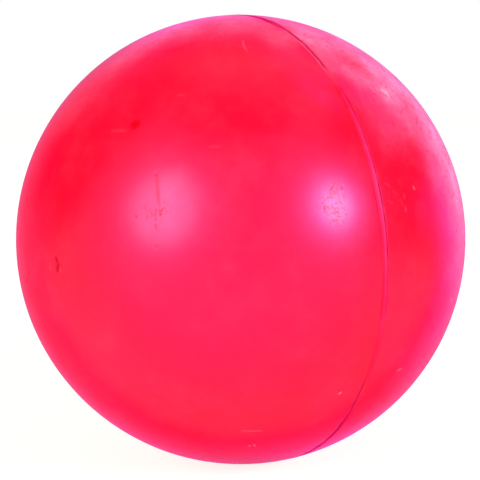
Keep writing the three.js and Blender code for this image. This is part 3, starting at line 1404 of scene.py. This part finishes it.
class RubberEffects:
    """The effects that the rubber finishes share."""

    BLOOM_DETAIL = 6.0
    BLOOM_ROUGHNESS = 0.78
    GRAIN_DETAIL = 3.0
    GRAIN_ROUGHNESS = 0.6

    # A pit's edge and its full depth, as distances from its middle in cells
    PIT_EDGE = 0.42
    PIT_FLOOR = 0.12

    # Two sheets of hairlines, each turned and drawn out its own way, with gaps in them
    SCUFF_TURNS = ((0.3, 0.9, 0.2), (-0.7, 0.2, 1.1))
    SCUFF_STRETCH = (1.0, 0.4, 1.0)
    SCUFF_DETAIL = 1.0
    HAIRLINE_LEVEL = 0.5
    HAIRLINE_WIDTH = 0.045
    GAP_SCALE = 0.8
    GAP_TOP = 0.95
    GAP_EDGE = 0.1

    def __init__(self) -> None:
        """Build each effect once."""
        self.bloom = self.make_bloom()
        self.pits = self.make_pits()
        self.scuffs = self.make_scuffs()
        self.grain = self.make_grain()
        self.marks = self.make_marks()

    def make_bloom(self) -> EffectGroup:
        """The cloudy pale film that rubber sweats out.

        Returns:
            The effect.
        """
        inputs = {"Scale": 120.0, "Thin": 0.42, "Thick": 0.72}
        effect = EffectGroup("Rubber Bloom", inputs, ("Film",))
        graph, given = effect.graph, effect.given
        clouds = graph.noise(given["Place"], given["Scale"], self.BLOOM_DETAIL, self.BLOOM_ROUGHNESS)
        graph.feed(effect.gives["Film"], graph.ease(clouds, given["Thin"], given["Thick"]))
        return effect

    def make_pits(self) -> EffectGroup:
        """Fine pits of a worn mould.

        Returns:
            The effect.
        """
        effect = EffectGroup("Skin Pits", {"Scale": 1000.0, "Share": 0.5}, ("Pit",))
        graph, given = effect.graph, effect.given
        cells = graph.add("ShaderNodeTexVoronoi", feature="F1")
        graph.feed(cells.inputs["Vector"], given["Place"])
        graph.feed(cells.inputs["Scale"], given["Scale"])
        picked = graph.add("ShaderNodeSeparateColor")
        graph.feed(picked.inputs["Color"], cells.outputs["Color"])
        chosen = graph.math("LESS_THAN", picked.outputs["Red"], given["Share"])
        hole = graph.ease(cells.outputs["Distance"], self.PIT_EDGE, self.PIT_FLOOR)
        graph.feed(effect.gives["Pit"], graph.math("MULTIPLY", hole, chosen))
        return effect

    def make_scuffs(self) -> EffectGroup:
        """Short hairlines that cross each other.

        Returns:
            The effect.
        """
        effect = EffectGroup("Hairline Scuffs", {"Scale": 2800.0, "Share": 0.5}, ("Scuff",))
        graph, given = effect.graph, effect.given
        lines = []
        for turn in self.SCUFF_TURNS:
            turned = graph.add("ShaderNodeMapping", vector_type="POINT")
            graph.feed(turned.inputs["Vector"], given["Place"])
            graph.feed(turned.inputs["Rotation"], turn)
            graph.feed(turned.inputs["Scale"], self.SCUFF_STRETCH)
            streaks = graph.noise(turned.outputs["Vector"], given["Scale"], self.SCUFF_DETAIL)
            off = graph.math("ABSOLUTE", graph.math("SUBTRACT", streaks, self.HAIRLINE_LEVEL))
            lines.append(graph.ease(off, self.HAIRLINE_WIDTH, 0.0))
        either = graph.math("MAXIMUM", *lines)
        gap_scale = graph.math("MULTIPLY", given["Scale"], self.GAP_SCALE)
        gaps = graph.noise(given["Place"], gap_scale, self.SCUFF_DETAIL)
        low = graph.math("SUBTRACT", self.GAP_TOP, given["Share"])
        here = graph.ease(gaps, low, graph.math("ADD", low, self.GAP_EDGE))
        graph.feed(effect.gives["Scuff"], graph.math("MULTIPLY", either, here))
        return effect

    def make_grain(self) -> EffectGroup:
        """The fine matt grain of moulded rubber, as a height.

        Returns:
            The effect.
        """
        effect = EffectGroup("Rubber Grain", {"Scale": 2600.0}, ("Height",))
        graph, given = effect.graph, effect.given
        fine = graph.noise(given["Place"], given["Scale"], self.GRAIN_DETAIL, self.GRAIN_ROUGHNESS)
        graph.feed(effect.gives["Height"], fine)
        return effect

    @staticmethod
    def make_marks() -> EffectGroup:
        """The haze, the rubs and the single cuts, as the mesh keeps them, with painted
        highlights, reflections and crease shade among them.

        Returns:
            The effect.
        """
        outputs = ("Haze", "Blush", "Scuffed", "Pale", "Dark")
        effect = EffectGroup("Kept Wear", {}, outputs)
        for output, mask in zip(outputs, MASKS):
            kept = effect.graph.add("ShaderNodeAttribute", attribute_name=mask)
            effect.graph.feed(effect.gives[output], kept.outputs["Fac"])
        return effect


@dataclass(frozen=True)
class RubberFinish:
    """One rubber's colours, gloss and wear, with scales per metre and depths in millimetres."""

    name: str
    body: Colour
    deep: Colour
    roughness: float
    bloom_amount: float
    bloom_scale: float
    pit_amount: float
    gloss: float = 0.5
    coat: float = 0.12
    # The blush and film also paint highlights and reflections, the pale torn tone paints the gum crest's
    # highlight, and the deep tone also paints shade in the seam's creases
    blush: Colour = (0.95, 0.02, 0.33)
    film: Colour = (0.95, 0.3, 0.64)
    torn_and_painted_highlight: Colour = (0.97, 0.42, 0.62)
    dark_lines: Colour = (0.1, 0.001, 0.03)
    film_roughness: float = 0.5
    dirt_roughness: float = 0.7
    bloom_thin: float = 0.42
    bloom_thick: float = 0.72
    pit_scale: float = 1000.0
    pit_share: float = 0.5
    pit_depth: float = 0.03
    scuff_scale: float = 2800.0
    scuff_share: float = 0.5
    scuff_depth: float = 0.016
    grain_scale: float = 2600.0
    grain_depth: float = 0.004

    # What the haze is multiplied by where the bloom is thin and where it is thick
    THIN_HAZE = 0.72
    THICK_HAZE = 1.28

    # The gloss is pink, and the sweated film dulls it where it is seen aslant
    REFRACTION = 1.76
    SPECULAR_TINT = (1.0, 0.165, 1.0)
    COAT_ROUGHNESS = 0.205
    ASLANT_FROM = 0.0
    ASLANT_TO = 0.57
    ASLANT_GLOSS = 0.006
    SHEEN = 0.7
    SHEEN_ROUGHNESS = 0.36
    SHEEN_TINT = (0.4, 0.02, 0.72)
    DIFFUSE_ROUGHNESS = 0.3

    def material(self, effects: RubberEffects) -> bpy.types.Material:
        """Make the material.

        Args:
            effects: The effects that the finishes share.

        Returns:
            The material.
        """
        material = bpy.data.materials.new(self.name)
        graph = Graph.emptied(material)
        place = graph.add("ShaderNodeTexCoord").outputs["Object"]
        bloom = effects.bloom.use(
            graph, place, scale=self.bloom_scale, thin=self.bloom_thin, thick=self.bloom_thick
        ).outputs["Film"]
        pits = effects.pits.use(graph, place, scale=self.pit_scale, share=self.pit_share).outputs["Pit"]
        scuffs = effects.scuffs.use(graph, place, scale=self.scuff_scale, share=self.scuff_share)
        grain = effects.grain.use(graph, place, scale=self.grain_scale).outputs["Height"]
        marks = effects.marks.use(graph, place).outputs

        scuffed = graph.math("MULTIPLY", scuffs.outputs["Scuff"], marks["Scuffed"])
        speckled = graph.math("MULTIPLY", pits, self.pit_amount)
        pitted = graph.math("MULTIPLY", speckled, marks["Haze"])
        shade = graph.math("MAXIMUM", pitted, marks["Dark"])
        film = self.film_cover(graph, bloom, speckled, marks["Haze"])

        colour = opaque(self.body)
        # The blush, film, pale and dark masks also carry painted highlights, painted reflections and painted
        # crease shade
        layers = (
            (marks["Blush"], self.blush),
            (film, self.film),
            (marks["Pale"], self.torn_and_painted_highlight),
            (shade, self.deep),
            (scuffed, self.dark_lines),
        )
        for share, tone in layers:
            colour = graph.blend(share, colour, opaque(tone))
        rough = graph.between(film, self.roughness, self.film_roughness)
        rough = graph.between(shade, rough, self.dirt_roughness)

        shader = graph.add("ShaderNodeBsdfPrincipled")
        graph.feed(shader.inputs["Base Color"], colour)
        graph.feed(shader.inputs["Roughness"], rough)
        graph.feed(shader.inputs["Normal"], self.normal(graph, grain, pitted, scuffed))
        self.set_gloss(graph, shader)
        output = graph.add("ShaderNodeOutputMaterial")
        graph.feed(output.inputs["Surface"], shader.outputs["BSDF"])
        return material

    def film_cover(
        self, graph: Graph, bloom: Source, speckled: Source, haze: Source
    ) -> bpy.types.NodeSocket:
        """Lay the pale film: the haze, clouded and speckled, and the faint bloom over all.
        The kept haze also holds painted highlights and painted reflections.

        Args:
            graph: The material's graph.
            bloom: How thick the bloom is.
            speckled: How strongly the pits break the haze.
            haze: The haze that the mesh keeps.

        Returns:
            The socket that gives the film's cover, from 0 to 1.
        """
        clouded = graph.math("MULTIPLY", haze, graph.between(bloom, self.THIN_HAZE, self.THICK_HAZE))
        broken = graph.math("MULTIPLY", clouded, graph.math("SUBTRACT", 1.0, speckled))
        return graph.math("ADD", broken, graph.math("MULTIPLY", bloom, self.bloom_amount), clamp=True)

    def normal(self, graph: Graph, grain: Source, pitted: Source, scuffed: Source) -> bpy.types.NodeSocket:
        """Raise the grain and sink the pits and the scuffs in it.

        Args:
            graph: The material's graph.
            grain: The grain's height.
            pitted: Where the skin is pitted.
            scuffed: Where it is scuffed.

        Returns:
            The socket that gives the skin's normal.
        """
        height = graph.math("MULTIPLY", grain, self.grain_depth)
        for sunk, depth in ((pitted, self.pit_depth), (scuffed, self.scuff_depth)):
            height = graph.math("SUBTRACT", height, graph.math("MULTIPLY", sunk, depth))
        bump = graph.add("ShaderNodeBump")
        graph.feed(bump.inputs["Strength"], 1.0)
        graph.feed(bump.inputs["Distance"], MM)
        graph.feed(bump.inputs["Height"], height)
        return bump.outputs["Normal"]

    def set_gloss(self, graph: Graph, shader: bpy.types.Node) -> None:
        """Set the shader's gloss, coat and sheen.

        Args:
            graph: The material's graph.
            shader: Its Principled node.
        """
        straight = self.seen_straight(graph)
        values = {
            "Diffuse Roughness": self.DIFFUSE_ROUGHNESS,
            "IOR": self.REFRACTION,
            "Specular IOR Level": graph.between(straight, self.ASLANT_GLOSS, self.gloss),
            "Specular Tint": opaque(self.SPECULAR_TINT),
            "Coat Weight": graph.math("MULTIPLY", straight, self.coat),
            "Coat Roughness": self.COAT_ROUGHNESS,
            "Sheen Weight": self.SHEEN,
            "Sheen Roughness": self.SHEEN_ROUGHNESS,
            "Sheen Tint": opaque(self.SHEEN_TINT),
        }
        for name, value in values.items():
            graph.feed(shader.inputs[name], value)

    def seen_straight(self, graph: Graph) -> bpy.types.NodeSocket:
        """Find how straight the skin is seen.

        Args:
            graph: The material's graph.

        Returns:
            The socket that is 1 where it is seen straight and falls to 0 aslant.
        """
        facing = graph.add("ShaderNodeLayerWeight").outputs["Facing"]
        aslant = graph.ease(facing, self.ASLANT_FROM, self.ASLANT_TO)
        return graph.math("SUBTRACT", 1.0, aslant)


# Deep reds darken the marks, and on the halves and the gum they also paint shade in the seam's creases and
# groove
BODY_RED = (0.95, 0.0008, 0.02)
GUM_RED = (0.95, 0.0012, 0.033)
DEEP_RED = (0.56, 0.001, 0.02)
GROOVE_RED = (0.4, 0.001, 0.045)
PLUG_RED = (0.63, 0.0003, 0.004)

LEFT_RUBBER = RubberFinish(
    name="left_half_rubber", body=BODY_RED, deep=DEEP_RED, roughness=0.35,
    bloom_amount=0.03, bloom_scale=130.0, pit_amount=0.3,
)
RIGHT_RUBBER = RubberFinish(
    name="right_half_rubber", body=BODY_RED, deep=DEEP_RED, roughness=0.35,
    bloom_amount=0.025, bloom_scale=260.0, pit_amount=0.38,
)
SEAM_GUM = RubberFinish(
    name="seam_gum", body=GUM_RED, deep=GROOVE_RED, roughness=0.45,
    bloom_amount=0.05, bloom_scale=120.0, pit_amount=0.2, gloss=0.3, coat=0.0,
)
PLUG_RUBBER = RubberFinish(
    name="plug_rubber", body=BODY_RED, deep=PLUG_RED, roughness=0.4,
    bloom_amount=0.0, bloom_scale=120.0, pit_amount=0.0, gloss=0.12, coat=0.0,
)


@dataclass(frozen=True)
class Photograph:
    """Where the photograph was taken from, and how large the ball is in it.

    Pixels are of the square photograph. The distance follows from the seam's
    perspective, and the lens from the outline's size at that distance.
    """

    azimuth: float = -35.1
    elevation: float = 10.2
    distance_in_radii: float = 6.88
    frame_px: int = 480
    ball_centre_px: tuple[float, float] = (240.7, 239.5)
    ball_radius_px: float = 224.9
    sensor_mm: float = 36.0
    nearest_seen: float = 10.0 * MM

    def take(self, sizes: BallSizes) -> None:
        """Set up the camera.

        Args:
            sizes: The ball's sizes.
        """
        back = direction_from(self.azimuth, self.elevation)
        right = np.cross(UP, back)
        right /= np.linalg.norm(right)
        up = np.cross(back, right)
        focal_px = self.ball_radius_px * math.sqrt(self.distance_in_radii**2 - 1.0)
        distance = self.distance_in_radii * sizes.outer_radius
        per_px = distance / focal_px
        middle = 0.5 * self.frame_px
        aim = right * (middle - self.ball_centre_px[0]) * per_px
        aim += up * (self.ball_centre_px[1] - middle) * per_px
        camera = bpy.data.cameras.new("photograph")
        camera.sensor_width = self.sensor_mm
        camera.lens = self.sensor_mm * focal_px / self.frame_px
        camera.clip_start = self.nearest_seen
        taker = new_object("photograph", camera)
        place = aim + back * distance
        pose = np.vstack((np.stack((right, up, back, place), axis=1), (0, 0, 0, 1)))
        taker.matrix_world = Matrix(pose.tolist())
        bpy.context.scene.camera = taker


@dataclass(frozen=True)
class Softbox:
    """A lamp with a round soft front, turned to the ball. Lengths are in metres."""

    name: str
    azimuth: float
    elevation: float
    distance: float
    width: float
    height: float
    radiance: float
    colour: Colour

    def hang(self) -> None:
        """Put the lamp in the scene."""
        lamp = bpy.data.lights.new(self.name, "AREA")
        lamp.shape = "ELLIPSE"
        lamp.size = self.width
        lamp.size_y = self.height
        front = math.pi / 4 * self.width * self.height
        lamp.energy = self.radiance * math.pi * front
        lamp.color = self.colour
        holder = new_object(self.name, lamp)
        towards = Vector(direction_from(self.azimuth, self.elevation))
        holder.location = towards * self.distance
        holder.rotation_euler = towards.to_track_quat("Z", "Y").to_euler()
        holder.visible_camera = False


@dataclass(frozen=True)
class Flag:
    """A dark curved screen that only shows as a dark part of the reflections."""

    name: str
    azimuths: tuple[float, float]
    elevations: tuple[float, float]
    distance: float = 1.6
    steps: int = 12

    # How round the outline is: 0 makes it a rectangle, and a half an ellipse
    ROUNDING = 0.45

    @staticmethod
    def middle_and_reach(ends: tuple[float, float]) -> tuple[float, float]:
        """Middle and half length of a range."""
        return 0.5 * (ends[0] + ends[1]), 0.5 * (ends[1] - ends[0])

    def stand(self, material: bpy.types.Material) -> None:
        """Put the screen in the scene.

        Args:
            material: Its dark cloth.
        """
        turn_middle, turn_reach = self.middle_and_reach(self.azimuths)
        rise_middle, rise_reach = self.middle_and_reach(self.elevations)
        shares = np.linspace(-1.0, 1.0, self.steps + 1)
        points = []
        for up in shares:
            for side in shares:
                turn = turn_middle + turn_reach * side * math.sqrt(1.0 - self.ROUNDING * up**2)
                rise = rise_middle + rise_reach * up * math.sqrt(1.0 - self.ROUNDING * side**2)
                points.append(tuple(self.distance * direction_from(turn, rise)))
        row = self.steps + 1
        faces = [
            (a, a + 1, a + 1 + row, a + row)
            for a in (up * row + side for up in range(self.steps) for side in range(self.steps))
        ]
        mesh = bpy.data.meshes.new(self.name)
        mesh.from_pydata(points, [], faces)
        screen = new_object(self.name, mesh)
        mesh.materials.append(material)
        screen.visible_camera = False
        screen.visible_diffuse = False
        screen.visible_shadow = False


class Studio:
    """The plain pale floor, the white surroundings and the soft lamps."""

    FLOOR_RADIUS = 0.6
    FLOOR_POINTS = 96
    FLOOR_GREY = (0.8, 0.8, 0.8)
    SHOWN_FLOOR_GREY = (0.4, 0.4, 0.4)
    SHOWN_FLOOR_GLOW = 0.82
    WHITE = (1.0, 1.0, 1.0)
    FILL = 0.28
    FLAG_GLOW = 0.0

    SOFTBOXES = (
        Softbox(
            "left_softbox", azimuth=-75.6, elevation=21.5, distance=0.9, width=0.53, height=0.53,
            radiance=9.6, colour=(1.0, 1.0, 0.63),
        ),
        Softbox(
            "right_softbox", azimuth=15.1, elevation=21.5, distance=0.9, width=0.26, height=0.29,
            radiance=36.0, colour=(1.0, 0.97, 0.82),
        ),
    )
    FLAGS = (
        Flag("left_flag", azimuths=(-177.0, -119.0), elevations=(-2.0, 77.5)),
        Flag("right_flag", azimuths=(21.0, 97.0), elevations=(-16.0, 55.0)),
        Flag("top_flag", azimuths=(-118.0, 40.0), elevations=(56.0, 86.0)),
    )

    def seen(self, graph: Graph) -> bpy.types.NodeSocket:
        """1 for what the camera sees, straight or in a reflection or through glass.

        Args:
            graph: The graph of the floor's or the world's shader.

        Returns:
            The socket that tells it.
        """
        ray = graph.add("ShaderNodeLightPath").outputs
        either = graph.math("MAXIMUM", ray["Is Camera Ray"], ray["Is Glossy Ray"])
        return graph.math("MAXIMUM", either, ray["Is Transmission Ray"])

    def surround(self) -> None:
        """Make the world white to the eye and a dim fill to the lit surfaces."""
        world = bpy.data.worlds.new("white_surroundings")
        bpy.context.scene.world = world
        graph = Graph.emptied(world)
        back = graph.add("ShaderNodeBackground")
        graph.feed(back.inputs["Color"], opaque(self.WHITE))
        rest = graph.math("MULTIPLY", self.seen(graph), 1.0 - self.FILL)
        graph.feed(back.inputs["Strength"], graph.math("ADD", rest, self.FILL))
        output = graph.add("ShaderNodeOutputWorld")
        graph.feed(output.inputs["Surface"], back.outputs["Background"])

    def floor_material(self) -> bpy.types.Material:
        """Pale floor that shows white and keeps the ball's shadow.

        Returns:
            The material.
        """
        material = bpy.data.materials.new("pale_floor")
        graph = Graph.emptied(material)
        lit = graph.add("ShaderNodeBsdfDiffuse")
        graph.feed(lit.inputs["Color"], opaque(self.FLOOR_GREY))
        shown = graph.add("ShaderNodeBsdfDiffuse")
        graph.feed(shown.inputs["Color"], opaque(self.SHOWN_FLOOR_GREY))
        glow = graph.add("ShaderNodeEmission")
        graph.feed(glow.inputs["Strength"], self.SHOWN_FLOOR_GLOW)
        both = graph.add("ShaderNodeAddShader")
        graph.feed(both.inputs[0], shown.outputs[0])
        graph.feed(both.inputs[1], glow.outputs[0])
        choice = graph.add("ShaderNodeMixShader")
        graph.feed(choice.inputs["Fac"], self.seen(graph))
        graph.feed(choice.inputs[1], lit.outputs[0])
        graph.feed(choice.inputs[2], both.outputs[0])
        output = graph.add("ShaderNodeOutputMaterial")
        graph.feed(output.inputs["Surface"], choice.outputs[0])
        return material

    def flag_material(self) -> bpy.types.Material:
        """Dark cloth of the flags.

        Returns:
            The material.
        """
        material = bpy.data.materials.new("flag_cloth")
        graph = Graph.emptied(material)
        cloth = graph.add("ShaderNodeEmission")
        graph.feed(cloth.inputs["Strength"], self.FLAG_GLOW)
        output = graph.add("ShaderNodeOutputMaterial")
        graph.feed(output.inputs["Surface"], cloth.outputs[0])
        return material

    def build(self, sizes: BallSizes) -> None:
        """Put up the whole studio.

        Args:
            sizes: The ball's sizes.
        """
        self.surround()
        floor_mesh = bpy.data.meshes.new("floor")
        shape = bmesh.new()
        bmesh.ops.create_circle(shape, cap_ends=True, segments=self.FLOOR_POINTS, radius=self.FLOOR_RADIUS)
        shape.to_mesh(floor_mesh)
        shape.free()
        floor = new_object("floor", floor_mesh)
        floor.location.z = sizes.floor_height
        floor_mesh.materials.append(self.floor_material())
        for softbox in self.SOFTBOXES:
            softbox.hang()
        cloth = self.flag_material()
        for flag in self.FLAGS:
            flag.stand(cloth)


def main() -> None:
    """Build the ball and its studio in order."""
    logging.basicConfig(level=logging.INFO, format="%(name)s: %(message)s")
    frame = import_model()
    bpy.context.scene.view_settings.view_transform = "Standard"

    sizes = BallSizes.from_frame(frame["nodes"])
    Photograph().take(sizes)
    seam = SeamCourse(crown_height=sizes.crown_radius - sizes.outer_radius, half_width=sizes.rim_distance)
    skin = Skin(sizes, seam)
    effects = RubberEffects()

    plug = NeedlePlug(name="needle_plug_end", node="needle_plug", slot="plug_rubber")
    left = HalfShell(
        name="left_half", node="left_half_shell", slot="left_half_rubber",
        half=Half.LEFT, wear_and_painted_light=WearAndPaintedLight(LEFT_MARKS, LEFT_BLOTCHES),
    )
    right = HalfShell(
        name="right_half", node="right_half_shell", slot="right_half_rubber",
        half=Half.RIGHT, wear_and_painted_light=WearAndPaintedLight(RIGHT_MARKS, RIGHT_BLOTCHES),
    )
    gum = GumStrip(name="seam_gum_strip", node="seam_bond", slot="seam_gum")

    plug.settle(plug.build(sizes, skin), PLUG_RUBBER.material(effects))
    left.settle(left.build(sizes, skin, plug), LEFT_RUBBER.material(effects))
    right.settle(right.build(sizes, skin, plug), RIGHT_RUBBER.material(effects))
    gum.settle(gum.build(sizes, seam), SEAM_GUM.material(effects))
    Studio().build(sizes)


if __name__ == "__main__":
    main()
